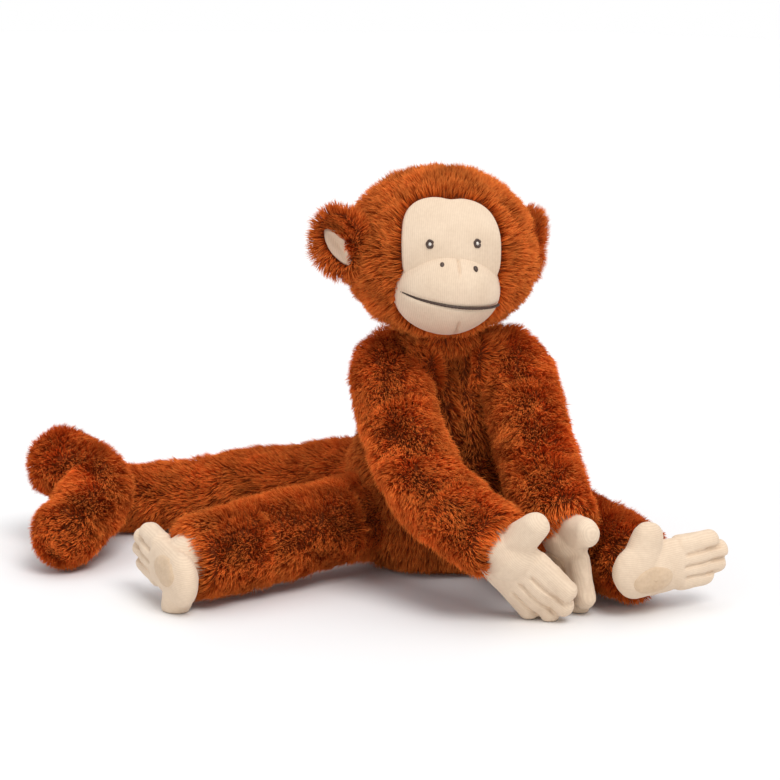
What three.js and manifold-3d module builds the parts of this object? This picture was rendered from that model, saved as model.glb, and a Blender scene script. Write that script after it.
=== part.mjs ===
// Stuffed monkey with long floppy limbs and a curled tail, sitting with its hands together.
// Millimetres, +Z up. The monkey faces -Y and its left side is +X.
// The origin is the middle of the flat seat panel, on the surface that the toy sits on.
import * as THREE from 'three';
import { mergeVertices } from 'three/addons/utils/BufferGeometryUtils.js';
import Module from 'manifold-3d';

const wasm = await Module();
wasm.setup();

// ---------------------------------------------------------------- driving dimensions

const WALL = 3; // fur fabric with its backing
const GAP = 0.4; // clearance between neighbouring pieces
const LOOSE = 2; // slack between a cover's open end and its stuffing
const NOTCH = 0.6; // clearance of each mitred end from the joint's own axis

const TUBE_SIDES = 12;
const BODY_SIDES = 18;
const BODY_ROWS = 10;
const BALL_SIDES = 10;
const BALL_ROWS = 6;
const FACET_ROOM = 1.09; // a faceted ball turns freely in a faceted socket this much larger

const TORSO = { width: 72, depthRatio: 0.86, neckTop: 157, neckHole: 19 };
const SEAT_RADIUS = 44;
const PELLETS = { x: 22, y: 34, z: 13, at: [0, 6, 17] };
const NECK = { at: [-4, -2, 164], radius: 20 };

const HEAD = { at: [-4, -8, 222], size: [66, 60, 58], turn: -5 };
const MUZZLE = { at: [-4, -44, 200], size: [36, 39, 29] };
const FACE = { halfWidth: 35, top: 263, bottom: 204, corner: 17 };
const EYE = { x: 15.5, z: 233, radius: 2.6, height: 1.2 };
const NOSTRIL = { x: 11, z: 215.5, radius: 2.2, height: 1.2 };
const MOUTH = { halfWidth: 33, ends: 199, middle: 191, radius: 0.9, steps: 8 };
const EAR = {
  width: 20, height: 24, thick: 6.5, reach: 20.8,
  right: { from: [61.5, -36, 224], lean: 36 },
  left: { from: [66.8, -19, 224], lean: 66 },
};

const ARM = { radius: 27, wrist: 21.5, ball: 16, wristBall: 11 };
const LEG = { radius: 30, ankle: 28.5, ball: 18, ankleBall: 15, hipBall: 26 };
const TAIL = { radius: 24, end: 26, ball: 15, rootBall: 21 };

const HAND = { length: 58, width: 47, thick: 20, patch: [30, 0, 13, 11] };
const FOOT = { length: 82, width: 50, thick: 24, heel: 26, patch: [22, -4, 15, 11] };
const PATCH_THICK = 1;

// Joint places at rest, and how far each may bend either way, in degrees.
const ARMS = {
  right: {
    points: [[-44, -12, 136], [-38, -88, 79], [-5, -158, 51]],
    handTip: [30, -165, 17],
    palm: [0.5, 0.8, 0.37],
    thumbSide: -1,
    raised: [-0.6, -0.3, 0.75],
  },
  left: {
    points: [[44, -12, 136], [42, -80, 90], [42, -140, 60]],
    handTip: [53, -144, 5],
    palm: [-0.9, -0.2, -0.2],
    thumbSide: 1,
    raised: [0.2, -0.3, 0.93],
  },
};
const LEGS = {
  right: { points: [[-52, -6, 40], [-119, -40, 36], [-186, -74, 32]], toesRise: 9, toeSide: -1, footShift: -15 },
  left: { points: [[52, -6, 40], [73, -77, 35], [94, -148, 30]], toesRise: 3, toeSide: 1, footShift: -4 },
};
const TAIL_POINTS = [
  [-18, 46, 58], [-100, 108, 40], [-206, 134, 26], [-227, 80, 44], [-262, 34, 28],
];
const TAIL_CURL = [-248, 119, 54]; // the top of the bend between the last but one pair of joints

const SWING = {
  elbow: [55, 12], wrist: [22, 22], ankle: [18, 18],
  hip: { right: [40, 10], left: [40, 3] },
  knee: { right: [30, 15], left: [38, 3] },
  tail: [[14, 30], [35, 35], [25, 25], [22, 22]],
};

const FUR = '#8a3a17';
const VELOUR = '#dcc3a3';
const STUFFING = '#f2efe6';
const THREAD = '#3b2216';

// ---------------------------------------------------------------- solids

const vec = (point) => new THREE.Vector3(...point);

function solid(geometry) {
  const bare = geometry.index ? geometry.toNonIndexed() : geometry.clone();
  bare.deleteAttribute('normal');
  bare.deleteAttribute('uv');
  const welded = mergeVertices(bare, 1e-4);
  const mesh = new wasm.Mesh({
    numProp: 3,
    vertProperties: new Float32Array(welded.attributes.position.array),
    triVerts: new Uint32Array(welded.index.array),
  });
  return new wasm.Manifold(mesh);
}

function geometryOf(manifold) {
  const mesh = manifold.getMesh();
  const geometry = new THREE.BufferGeometry();
  geometry.setAttribute('position', new THREE.BufferAttribute(mesh.vertProperties, 3));
  geometry.setIndex(new THREE.BufferAttribute(mesh.triVerts, 1));
  geometry.computeVertexNormals();
  return geometry;
}

function placed(geometry, at, turn = new THREE.Quaternion(), size = [1, 1, 1]) {
  const place = new THREE.Matrix4().compose(vec(at), turn, vec(size));
  return solid(geometry.clone().applyMatrix4(place));
}

function ball(at, radius) {
  return placed(new THREE.SphereGeometry(radius, BALL_SIDES, BALL_ROWS), at);
}

function socket(at, radius, clearance) {
  return ball(at, radius * FACET_ROOM + clearance);
}

function ellipsoid(at, size, inset = 0, sides = BODY_SIDES, rows = BODY_ROWS) {
  return placed(new THREE.SphereGeometry(1, sides, rows), at, undefined, size.map((s) => s - inset));
}

// A round tapered tube between two points, carried on past the first by some extra length.
function tube(from, to, radiusFrom, radiusTo, before = 0) {
  const axis = to.clone().sub(from);
  const length = axis.length() + before;
  const radiusBefore = radiusFrom + ((radiusFrom - radiusTo) * before) / axis.length();
  axis.normalize();
  const middle = from.clone().addScaledVector(axis, length / 2 - before);
  const turn = new THREE.Quaternion().setFromUnitVectors(new THREE.Vector3(0, 1, 0), axis);
  const geometry = new THREE.CylinderGeometry(radiusTo, radiusBefore, length, TUBE_SIDES);
  return placed(geometry, middle.toArray(), turn);
}

function trim(body, normal, at, clearance) {
  return body.trimByPlane(normal.toArray(), normal.dot(at) + clearance);
}

// ---------------------------------------------------------------- joints

// A joint bends about an axis through its place. The tube before it and the tube after it
// are mitred so that they just meet when the joint is bent by its limits.
function makeJoint(place, before, afterwards, axis, limits, ballRadius) {
  const at = vec(place);
  const back = before.clone().negate().projectOnPlane(axis).normalize();
  const after = afterwards.clone().projectOnPlane(axis).normalize();
  const across = after.clone().cross(back).dot(axis);
  const turned = THREE.MathUtils.radToDeg(Math.atan2(across, after.dot(back)));
  const gapPlus = (turned + 360) % 360;
  const halfPlus = Math.min(90, (gapPlus - limits[0]) / 2);
  const halfMinus = Math.min(90, (360 - gapPlus - limits[1]) / 2);
  return { at, back, after, axis, halfPlus, halfMinus, ballRadius };
}

function mitred(body, joint, side, clearance) {
  const start = side === 'after' ? joint.after : joint.back;
  const sign = side === 'after' ? 1 : -1;
  let result = body;
  for (const [half, way] of [[joint.halfPlus, sign], [joint.halfMinus, -sign]]) {
    const edge = start.clone().applyAxisAngle(joint.axis, THREE.MathUtils.degToRad(half * way));
    const inward = joint.axis.clone().cross(edge).multiplyScalar(-way);
    result = trim(result, inward, joint.at, clearance);
  }
  return result;
}

// One stuffed length of a limb along its points. It is mitred at each joint, carries the joint's
// ball at its far end and a socket at its near end, and its cover is open at the near end.
function limbLength(points, radii, near, far) {
  const last = points.length - 1;
  const from = points[0];
  const to = points[last];

  const shape = (inset, clearNear, clearFar, before) => {
    let body = far ? null : ball(to, radii[last] - inset);
    for (let i = 0; i < last; i += 1) {
      const ends = [vec(points[i]), vec(points[i + 1])];
      let part = tube(...ends, radii[i] - inset, radii[i + 1] - inset, i === 0 ? before : 0);
      if (i === 0 && near && clearNear !== null) part = mitred(part, near, 'after', clearNear);
      if (i === last - 1 && far) part = mitred(part, far, 'before', clearFar);
      if (i > 0) part = part.add(ball(points[i], radii[i] - inset));
      body = body ? body.add(part) : part;
    }
    return body;
  };

  let cover = shape(0, NOTCH, NOTCH, 0);
  if (!near) cover = cover.add(ball(from, radii[0]));
  cover = cover.subtract(shape(WALL, null, NOTCH + WALL, radii[0] + 2));
  if (near) cover = cover.subtract(socket(from, near.ballRadius, GAP));
  if (far) cover = cover.add(ball(to, far.ballRadius));

  let filling = shape(WALL + GAP, NOTCH + LOOSE, NOTCH + WALL + GAP, 0);
  if (near) filling = filling.subtract(socket(from, near.ballRadius, GAP + LOOSE));
  if (far) filling = filling.subtract(socket(to, far.ballRadius, GAP));
  return { cover, filling };
}

function direction(from, to) {
  return vec(to).sub(vec(from)).normalize();
}

// ---------------------------------------------------------------- model tree

const monkey = new THREE.Group();
monkey.name = 'stuffed_monkey';
const head = new THREE.Group();
head.position.set(HEAD.at[0], HEAD.at[1], 0);
head.rotation.z = THREE.MathUtils.degToRad(HEAD.turn);
monkey.add(head);

function addPiece(parent, name, body, colour, roughness = 0.95) {
  const material = new THREE.MeshStandardMaterial({ color: colour, roughness, metalness: 0 });
  const mesh = new THREE.Mesh(geometryOf(body), material);
  mesh.name = name;
  parent.add(mesh);
}

// ---------------------------------------------------------------- torso

function torsoShape(inset, top) {
  const w = TORSO.width;
  const outline = [
    [0.66 * w, 0], [0.88 * w, 9], [w, 42], [0.93 * w, 80], [0.72 * w, 115], [0.52 * w, 142], [0.36 * w, 157],
  ];
  const points = [new THREE.Vector2(0, inset)];
  for (const [radius, z] of outline) {
    points.push(new THREE.Vector2(radius - inset, Math.min(Math.max(z, inset), top)));
  }
  points.push(new THREE.Vector2(0, top));
  const upright = new THREE.Quaternion().setFromAxisAngle(new THREE.Vector3(1, 0, 0), Math.PI / 2);
  const body = placed(new THREE.LatheGeometry(points, BODY_SIDES), [0, 0, 0], upright);
  return body.scale([1, TORSO.depthRatio, 1]);
}

function upright(radius, low, high, at = [0, 0], squash = 1) {
  const turn = new THREE.Quaternion().setFromAxisAngle(new THREE.Vector3(1, 0, 0), Math.PI / 2);
  const geometry = new THREE.CylinderGeometry(radius, radius, high - low, BODY_SIDES);
  return placed(geometry, [at[0], at[1], (low + high) / 2], turn).scale([1, squash, 1]);
}

// The room that a limb needs in the torso: its ball, and its tube at several places in its swing.
function limbRoom(from, to, radius, ballRadius, axis, angles, extra) {
  const start = vec(from);
  const reach = vec(to).sub(start);
  let room = socket(from, ballRadius, extra);
  for (const angle of angles) {
    const end = start.clone().add(reach.clone().applyAxisAngle(axis, THREE.MathUtils.degToRad(angle)));
    room = room.add(tube(start, end, ballRadius + extra, radius + extra));
  }
  return room;
}

const shoulderAxis = {};
for (const side of ['right', 'left']) {
  const arm = ARMS[side];
  const rest = direction(arm.points[0], arm.points[1]);
  shoulderAxis[side] = rest.cross(vec(arm.raised).normalize()).normalize();
}
const vertical = new THREE.Vector3(0, 0, 1);

function roomForLimbs(extra) {
  let room = socket(NECK.at, NECK.radius, extra);
  for (const side of ['right', 'left']) {
    const arm = ARMS[side].points;
    const leg = LEGS[side].points;
    const [forward, back] = SWING.hip[side];
    const hipAngles = [-back, (forward - back) / 2, forward];
    room = room.add(limbRoom(arm[0], arm[1], ARM.radius, ARM.radius, shoulderAxis[side], [0, 40, 75], extra));
    room = room.add(limbRoom(leg[0], leg[1], LEG.radius, LEG.hipBall, vertical, hipAngles, extra));
  }
  const [root, next] = TAIL_POINTS;
  const [plus, minus] = SWING.tail[0];
  return room.add(limbRoom(root, next, TAIL.radius, TAIL.rootBall, vertical, [-minus, 0, plus], extra));
}

const coverRoom = roomForLimbs(GAP + 0.9);
const fillingRoom = roomForLimbs(GAP + LOOSE);
const seatHole = upright(SEAT_RADIUS, -1, WALL + 1, [0, 0], TORSO.depthRatio);
const neckHole = upright(TORSO.neckHole, TORSO.neckTop - 8, TORSO.neckTop + 1, NECK.at);
const pelletBag = ellipsoid(PELLETS.at, [PELLETS.x, PELLETS.y, PELLETS.z], 0, 12, 6);
const pelletRoom = ellipsoid(PELLETS.at, [PELLETS.x, PELLETS.y, PELLETS.z], -0.8, 12, 6)
  .add(upright(PELLETS.x - 4, 0, PELLETS.at[2], [0, PELLETS.at[1]]));

const torsoCover = torsoShape(0, TORSO.neckTop)
  .subtract(torsoShape(WALL, TORSO.neckTop - WALL))
  .subtract(neckHole)
  .subtract(seatHole)
  .subtract(coverRoom);
addPiece(monkey, 'torso_cover', torsoCover, FUR);
const seatPanel = upright(SEAT_RADIUS - GAP, 0, WALL, [0, 0], TORSO.depthRatio).subtract(coverRoom);
addPiece(monkey, 'seat_panel', seatPanel, FUR);
const torsoFilling = torsoShape(WALL + GAP, TORSO.neckTop - WALL - GAP)
  .subtract(fillingRoom)
  .subtract(pelletRoom);
addPiece(monkey, 'torso_filling', torsoFilling, STUFFING);
addPiece(monkey, 'pellet_bag', pelletBag, '#b9b2a4');
addPiece(monkey, 'neck_filling', ball(NECK.at, NECK.radius), STUFFING);

// ---------------------------------------------------------------- head

// Everything on the head is drawn about the point below the head's middle.
const headAt = [0, 0, HEAD.at[2]];
const muzzleAt = [0, MUZZLE.at[1] - HEAD.at[1], MUZZLE.at[2]];
const neckAt = [0, NECK.at[1] - HEAD.at[1], NECK.at[2]];

function headShape(inset) {
  return ellipsoid(headAt, HEAD.size, inset);
}

function muzzleShape(inset) {
  return ellipsoid(muzzleAt, MUZZLE.size, inset, 16, 8);
}

// A rounded square seen from the front, reaching through the front half of the head.
function faceWindow(grow) {
  const w = FACE.halfWidth + grow;
  const r = FACE.corner;
  const low = FACE.bottom - grow;
  const high = FACE.top + grow;
  const outline = new THREE.Shape();
  outline.moveTo(-w, low);
  outline.lineTo(w, low);
  outline.lineTo(w, high - r);
  outline.absarc(w - r, high - r, r, 0, Math.PI / 2);
  outline.absarc(-w + r, high - r, r, Math.PI / 2, Math.PI);
  const depth = 70;
  const geometry = new THREE.ExtrudeGeometry(outline, { depth, bevelEnabled: false, curveSegments: 3 });
  const turn = new THREE.Quaternion().setFromAxisAngle(new THREE.Vector3(1, 0, 0), Math.PI / 2);
  return placed(geometry, [0, 0, 0], turn);
}

// The point on a swollen ellipsoid straight in front of (x, z), and the surface's normal there.
function onFront(at, size, x, z, proud) {
  const [a, b, c] = size;
  const u = (x - at[0]) / a;
  const w = (z - at[2]) / c;
  const point = new THREE.Vector3(x, at[1] - b * Math.sqrt(Math.max(0, 1 - u * u - w * w)), z);
  const normal = new THREE.Vector3(
    (point.x - at[0]) / (a * a), (point.y - at[1]) / (b * b), (point.z - at[2]) / (c * c),
  ).normalize();
  return { point: point.addScaledVector(normal, proud), normal };
}

function stitchedDot(spot, dot) {
  const turn = new THREE.Quaternion().setFromUnitVectors(new THREE.Vector3(0, 1, 0), spot.normal);
  return placed(new THREE.CylinderGeometry(dot.radius, dot.radius, dot.height, 8), spot.point.toArray(), turn);
}

const neckRoom = socket(neckAt, NECK.radius, GAP);
const headOpening = upright(NECK.radius - 4, 150, 190, [0, neckAt[1]]);
const muzzleOpening = placed(
  new THREE.CylinderGeometry(24, 24, 40, 14), [0, -50, muzzleAt[2] + 2],
);
const headBase = vertical.clone();
const aboveNeck = (body, z) => body.trimByPlane(headBase.toArray(), z);

const headCover = aboveNeck(headShape(0), 169)
  .subtract(headShape(WALL))
  .subtract(headOpening)
  .subtract(faceWindow(GAP))
  .subtract(muzzleOpening)
  .subtract(neckRoom);
addPiece(head, 'head_cover', headCover, FUR);

const headFilling = aboveNeck(headShape(WALL + GAP), 169 + LOOSE).subtract(neckRoom);
addPiece(head, 'head_filling', headFilling, STUFFING);

const facePanel = headShape(0).subtract(headShape(WALL)).intersect(faceWindow(0)).subtract(muzzleShape(-GAP));
addPiece(head, 'face_panel', facePanel, VELOUR, 0.9);

const muzzlePanel = muzzleShape(0).subtract(headShape(-GAP)).subtract(muzzleShape(WALL));
addPiece(head, 'muzzle_panel', muzzlePanel, VELOUR, 0.9);
const muzzleFilling = muzzleShape(WALL + GAP).subtract(headShape(-GAP));
addPiece(head, 'muzzle_filling', muzzleFilling, STUFFING);

for (const [side, sign] of [['right', -1], ['left', 1]]) {
  const eye = onFront(headAt, HEAD.size, sign * EYE.x, EYE.z, GAP + EYE.height / 2 + 0.1);
  addPiece(head, `${side}_eye_stitching`, stitchedDot(eye, EYE), THREAD, 0.6);
  const nostril = onFront(muzzleAt, MUZZLE.size, sign * NOSTRIL.x, NOSTRIL.z, GAP + NOSTRIL.height / 2 + 0.1);
  addPiece(head, `${side}_nostril_stitching`, stitchedDot(nostril, NOSTRIL), THREAD, 0.6);
}

// The smile is a cord of stitches that lies along the muzzle.
const smile = [];
for (let i = 0; i <= MOUTH.steps; i += 1) {
  const s = (2 * i) / MOUTH.steps - 1;
  const z = MOUTH.middle + (MOUTH.ends - MOUTH.middle) * s * s;
  smile.push(onFront(muzzleAt, MUZZLE.size, s * MOUTH.halfWidth, z, MOUTH.radius + GAP + 0.3).point);
}
const smileSection = new THREE.Shape().absarc(0, 0, MOUTH.radius, 0, 2 * Math.PI);
const smileCord = new THREE.ExtrudeGeometry(smileSection, {
  steps: 12, extrudePath: new THREE.CatmullRomCurve3(smile), curveSegments: 2,
});
addPiece(head, 'mouth_stitching', solid(smileCord), THREAD, 0.6);

// Each ear is an oval pad that stands out from the head and leans back, with a pocket in front.
for (const [side, sign] of [['right', -1], ['left', 1]]) {
  const lean = THREE.MathUtils.degToRad(EAR[side].lean);
  const along = new THREE.Vector3(sign * Math.cos(lean), Math.sin(lean), 0);
  const front = new THREE.Vector3(sign * Math.sin(lean), -Math.cos(lean), 0);
  const [rootX, rootY, rootZ] = EAR[side].from;
  const middle = new THREE.Vector3(sign * rootX, rootY - HEAD.at[1], rootZ)
    .addScaledVector(along, EAR.reach);
  const basis = new THREE.Matrix4().makeBasis(along, front, along.clone().cross(front));
  const turn = new THREE.Quaternion().setFromRotationMatrix(basis);
  const pad = (size, shift) => placed(
    new THREE.SphereGeometry(1, 12, 6), middle.clone().addScaledVector(front, shift).toArray(), turn, size,
  );
  const pocket = pad([EAR.width - 6, EAR.thick, EAR.height - 6], EAR.thick);
  const cover = pad([EAR.width, EAR.thick, EAR.height], 0).subtract(pocket);
  addPiece(head, `${side}_ear_cover`, cover, FUR);
  const lining = pad([EAR.width - 6.6, EAR.thick, EAR.height - 6.6], EAR.thick + 0.7)
    .intersect(pad([EAR.width - 2, EAR.thick - 1, EAR.height - 2], 0));
  addPiece(head, `${side}_ear_lining`, lining, VELOUR, 0.9);
}

// ---------------------------------------------------------------- hands and feet

// A mitt seen from its palm: u runs from the wrist to the fingertips, v towards the thumb.
function mittOutline(length, width, grow) {
  const tip = length + grow;
  const half = width / 2 + grow;
  const outline = new THREE.Shape();
  outline.moveTo(4 - grow, -0.3 * width - grow / 2);
  outline.quadraticCurveTo(0.3 * length, -half, 0.62 * length, -half);
  outline.bezierCurveTo(0.86 * length, -half, tip, -0.3 * width, tip, 0);
  outline.bezierCurveTo(tip, 0.28 * width, 0.9 * length, 0.42 * width + grow, 0.62 * length, 0.42 * width + grow);
  outline.quadraticCurveTo(0.52 * length, 0.44 * width + grow, 0.52 * length, 0.56 * width + grow);
  outline.bezierCurveTo(0.56 * length, 0.95 * width + grow, 0.26 * length, 0.98 * width + grow,
    0.2 * length, 0.66 * width + grow);
  outline.quadraticCurveTo(0.12 * length, 0.4 * width + grow, 4 - grow, 0.3 * width + grow / 2);
  return outline;
}

function mitt(length, width, thick, inset) {
  const bevel = (thick - 2 * inset) * 0.3;
  const geometry = new THREE.ExtrudeGeometry(mittOutline(length, width, -inset - bevel), {
    depth: thick - 2 * inset - 2 * bevel,
    bevelEnabled: true,
    bevelThickness: bevel,
    bevelSize: bevel,
    bevelSegments: 1,
    curveSegments: 2,
  });
  geometry.translate(0, 0, -(thick - 2 * inset - 2 * bevel) / 2);
  return solid(geometry);
}

// ---------------------------------------------------------------- arms, legs and tail

function addLimbLength(name, points, radii, near, far) {
  const { cover, filling } = limbLength(points, radii, near, far);
  addPiece(monkey, `${name}_cover`, cover, FUR);
  addPiece(monkey, `${name}_filling`, filling, STUFFING);
}

// A hand or foot: a hollow mitt that is open where it is sewn on, its stuffing, and the oval
// touch-fastener patch on its palm or sole. faceSide says which face of the mitt that is.
function addMitt(name, patchName, shape, place, joint, faceSide, shift) {
  const { length, width, thick, patch } = shape;
  const carry = (body) => body.translate(shift).transform(place.elements);
  const fit = (body, clearance, loose) => mitred(carry(body), joint, 'after', clearance)
    .subtract(socket(joint.at.toArray(), joint.ballRadius, GAP + loose));
  const cover = mitt(length, width, thick, 0).subtract(mitt(length, width, thick, WALL));
  addPiece(monkey, `${name}_cover`, fit(cover, NOTCH, 0), VELOUR, 0.9);
  addPiece(monkey, `${name}_filling`, fit(mitt(length, width, thick, WALL + GAP), NOTCH, LOOSE), STUFFING);
  const [patchU, patchV, patchLength, patchWidth] = patch;
  const flat = new THREE.Quaternion().setFromAxisAngle(new THREE.Vector3(1, 0, 0), Math.PI / 2);
  const height = faceSide * (thick / 2 + GAP + PATCH_THICK / 2);
  const oval = new THREE.CylinderGeometry(1, 1, PATCH_THICK, 12);
  const disc = placed(oval, [patchU, patchV * faceSide, height], flat, [patchLength, 1, patchWidth]);
  addPiece(monkey, patchName, carry(disc), VELOUR, 1);
}

// The mitt's own directions: u to the fingertips or toes, v to the thumb, at a place.
function mittPlace(at, u, v) {
  return new THREE.Matrix4().makeBasis(u, v, u.clone().cross(v)).setPosition(vec(at));
}

for (const side of ['right', 'left']) {
  const arm = ARMS[side];
  const [shoulder, elbow, wrist] = arm.points;
  const upper = direction(shoulder, elbow);
  const fore = direction(elbow, wrist);
  const hand = direction(wrist, arm.handTip);
  const middle = upper.clone().add(fore).normalize();
  const elbowAxis = new THREE.Vector3(-1, 0, 0).projectOnPlane(middle).normalize();
  const elbowJoint = makeJoint(elbow, upper, fore, elbowAxis, SWING.elbow, ARM.ball);
  const wristAxis = fore.clone().cross(hand).normalize();
  const wristJoint = makeJoint(wrist, fore, hand, wristAxis, SWING.wrist, ARM.wristBall);
  addLimbLength(`${side}_upper_arm`, [shoulder, elbow], [ARM.radius, ARM.radius], null, elbowJoint);
  addLimbLength(`${side}_forearm`, [elbow, wrist], [ARM.radius, ARM.wrist], elbowJoint, wristJoint);
  const palm = vec(arm.palm).projectOnPlane(hand).normalize();
  const thumb = palm.clone().cross(hand).multiplyScalar(arm.thumbSide);
  const place = mittPlace(wrist, hand, thumb);
  addMitt(`${side}_hand`, `${side}_palm_patch`, HAND, place, wristJoint, arm.thumbSide, [0, 0, 0]);
}

for (const side of ['right', 'left']) {
  const leg = LEGS[side];
  const [hip, knee, ankle] = leg.points;
  const thigh = direction(hip, knee);
  const shin = direction(knee, ankle);
  const level = vertical.clone().cross(shin).multiplyScalar(leg.toeSide).normalize();
  const toes = level.applyAxisAngle(shin, THREE.MathUtils.degToRad(leg.toesRise * leg.toeSide));
  const bigToe = shin.clone().cross(toes);
  const kneeJoint = makeJoint(knee, thigh, shin, vertical, SWING.knee[side], LEG.ball);
  const ankleJoint = makeJoint(ankle, shin, shin, bigToe, SWING.ankle, LEG.ankleBall);
  addLimbLength(`${side}_thigh`, [hip, knee], [LEG.hipBall, LEG.radius], null, kneeJoint);
  addLimbLength(`${side}_shin`, [knee, ankle], [LEG.radius, LEG.ankle], kneeJoint, ankleJoint);
  const place = mittPlace(ankle, toes, bigToe);
  const shift = [-FOOT.heel, leg.footShift, FOOT.thick / 2 + 2 * NOTCH];
  addMitt(`${side}_foot`, `${side}_sole_patch`, FOOT, place, ankleJoint, 1, shift);
}

const [tailRoot, tailBend, curlStart, curlEnd, tailEnd] = TAIL_POINTS;
const bendJoint = makeJoint(
  tailBend, direction(tailRoot, tailBend), direction(tailBend, curlStart), vertical, SWING.tail[1], TAIL.ball,
);
const curlJoint = makeJoint(
  curlStart, direction(tailBend, curlStart), direction(curlStart, TAIL_CURL), vertical, SWING.tail[2], TAIL.ball,
);
const tipJoint = makeJoint(
  curlEnd, direction(TAIL_CURL, curlEnd), direction(curlEnd, tailEnd), vertical, SWING.tail[3], TAIL.ball,
);
const thin = TAIL.radius;
addLimbLength('tail_base', [tailRoot, tailBend], [TAIL.rootBall, thin], null, bendJoint);
addLimbLength('tail_middle', [tailBend, curlStart], [thin, thin], bendJoint, curlJoint);
addLimbLength('tail_curl', [curlStart, TAIL_CURL, curlEnd], [thin, thin, thin], curlJoint, tipJoint);
addLimbLength('tail_tip', [curlEnd, tailEnd], [thin, TAIL.end], tipJoint, null);

export default monkey;
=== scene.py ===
"""Stuffed monkey with a shaggy brown pile, velour face, hands and feet, sitting on a pale floor.

Lengths are in millimetres until make_mesh turns them into metres. The frame is the CAD part's:
+Z up, the monkey faces -Y, its left side is +X, and the origin is under the middle of its seat.
"""

import itertools
import math

import bpy
import numpy as np
from mathutils import Matrix, Vector
from mathutils.kdtree import KDTree


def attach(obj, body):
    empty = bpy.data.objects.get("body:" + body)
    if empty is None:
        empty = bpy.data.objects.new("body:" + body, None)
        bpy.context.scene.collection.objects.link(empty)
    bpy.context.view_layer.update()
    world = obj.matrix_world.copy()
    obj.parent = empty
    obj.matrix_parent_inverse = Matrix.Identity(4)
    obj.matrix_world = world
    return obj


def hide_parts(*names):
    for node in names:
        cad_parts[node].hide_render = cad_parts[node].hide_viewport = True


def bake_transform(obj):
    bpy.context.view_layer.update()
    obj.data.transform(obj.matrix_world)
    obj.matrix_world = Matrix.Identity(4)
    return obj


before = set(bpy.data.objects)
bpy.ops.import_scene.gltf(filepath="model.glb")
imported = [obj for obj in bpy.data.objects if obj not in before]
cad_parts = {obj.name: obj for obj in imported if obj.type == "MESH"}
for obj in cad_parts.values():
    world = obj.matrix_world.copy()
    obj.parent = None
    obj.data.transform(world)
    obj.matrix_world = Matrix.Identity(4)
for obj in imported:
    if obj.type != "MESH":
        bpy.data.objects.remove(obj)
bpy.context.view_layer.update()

# -------- sizes

PILE = 4.6  # the fur's backing lies this far inside the CAD surface
STRANDS_PER_MM2 = 1.5
STRAND_WIDTH = 0.55
MOST_STRANDS = 64000  # on one piece
TUFT = 11  # strands gather in tufts of about this many
FLOOR_CLEARANCE = 0.5
SKIN_CLEARANCE = 3.0  # of the backing, which leaves room for the pile under it
LINE_STEP = 2.0  # between the points along a limb's middle line
SEAM_ANGLE = 4.2  # round a limb, in radians, to the inside seam

TORSO_WIDTH = 72
TORSO_DEPTH_RATIO = 0.86
NECK_AT = np.array([-4.0, -2.0, 164.0])
NECK_SIZE = np.array([24.0, 23.0, 17.0])

# The face, muzzle and ears are placed about the head's own middle line, before it is turned.
HEAD_AT = np.array([-8.0, -8.0, 222.0])
HEAD_SIZE = np.array([66.0, 60.0, 58.0])
HEAD_TURN = -5.0
MUZZLE_AT = np.array([-1.5, -36.0, 200.8])
MUZZLE_SIZE = np.array([35.3, 39.0, 31.2])
FACE_MIDDLE = 232.0
FACE_HALF_WIDTH = 34.8
FACE_HALF_HEIGHT = 32.0
EYE_SPREAD = 15.5
EYE_HEIGHT = 233.0
NOSTRILS_AT = (2.6, 218.7)
NOSTRIL_SPREAD = 11.2
NOSTRIL_TILT = 1.4
MOUTH_FROM = -35.6
MOUTH_TO = 31.2

EAR_SIZE = np.array([18.5, 7.5, 20.5])
EARS = {
    "right": {"side": -1, "lean": 36, "middle": [-68.5, -17.0, 231.0], "brushed_forward": 6},
    "left": {"side": 1, "lean": 88, "middle": [61.5, 8.0, 224.0], "brushed_forward": 16},
}
LINING_AT = (2.0, -3.0)
LINING_TILT = math.radians(-38)
LINING_POWER = 1.7  # of its outline, which is a little more pointed than an oval

ARMS = {
    "right": {
        "points": [[-44, -12, 136], [-38, -88, 79], [-5, -158, 51]],
        "tip": [30, -165, 17],
        "palm": [0.5, 0.8, 0.37],
        "sleeve": 1,  # how far the fur reaches past the wrist
        "side": -1,
    },
    "left": {
        "points": [[44, -12, 136], [42, -80, 90], [42, -140, 60]],
        "tip": [53, -144, 5],
        "palm": [-0.9, -0.2, -0.2],
        "sleeve": 6,
        "side": 1,
    },
}
LEGS = {
    "right": {
        "points": [[-52, -6, 40], [-119, -40, 36], [-186, -74, 32]],
        "rise": 9,  # degrees that the toes point up
        "side": -1,
        "shift": [-13, 6, 8],  # of the foot from the leg's end, to the toes, big toe and sole
        "twist": -11,  # degrees that the foot is turned about the upright
        "sleeve": 9,
        "ankle": 28.5,
    },
    "left": {
        "points": [[52, -6, 40], [73, -77, 35], [94, -148, 30]],
        "rise": 3,
        "side": 1,
        "shift": [-9, 2, 0],
        "twist": 0,
        "sleeve": 0,
        "ankle": 26.5,
    },
}
TAIL = [[-18, 46, 58], [-104, 108, 40], [-214, 134, 26], [-260, 120, 57], [-240, 80, 45], [-266, 33, 25]]

CAMERA_AZIMUTH = -14
CAMERA_ELEVATION = 15
CAMERA_DISTANCE = 1500
CAMERA_AIM = (-32.62, 40.43, 116.95)
CAMERA_LENS = 97

# -------- small helpers


def unit(v):
    v = np.asarray(v, float)
    return v / np.maximum(np.linalg.norm(v, axis=-1, keepdims=True), 1e-9)


def smooth(edge0, edge1, x):
    t = np.clip((x - edge0) / (edge1 - edge0), 0, 1)
    return t * t * (3 - 2 * t)


def turned(p, degrees, axis=(0, 0, 1)):
    m = np.array(Matrix.Rotation(math.radians(degrees), 3, Vector(axis)))
    return np.asarray(p, float) @ m.T


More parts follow.
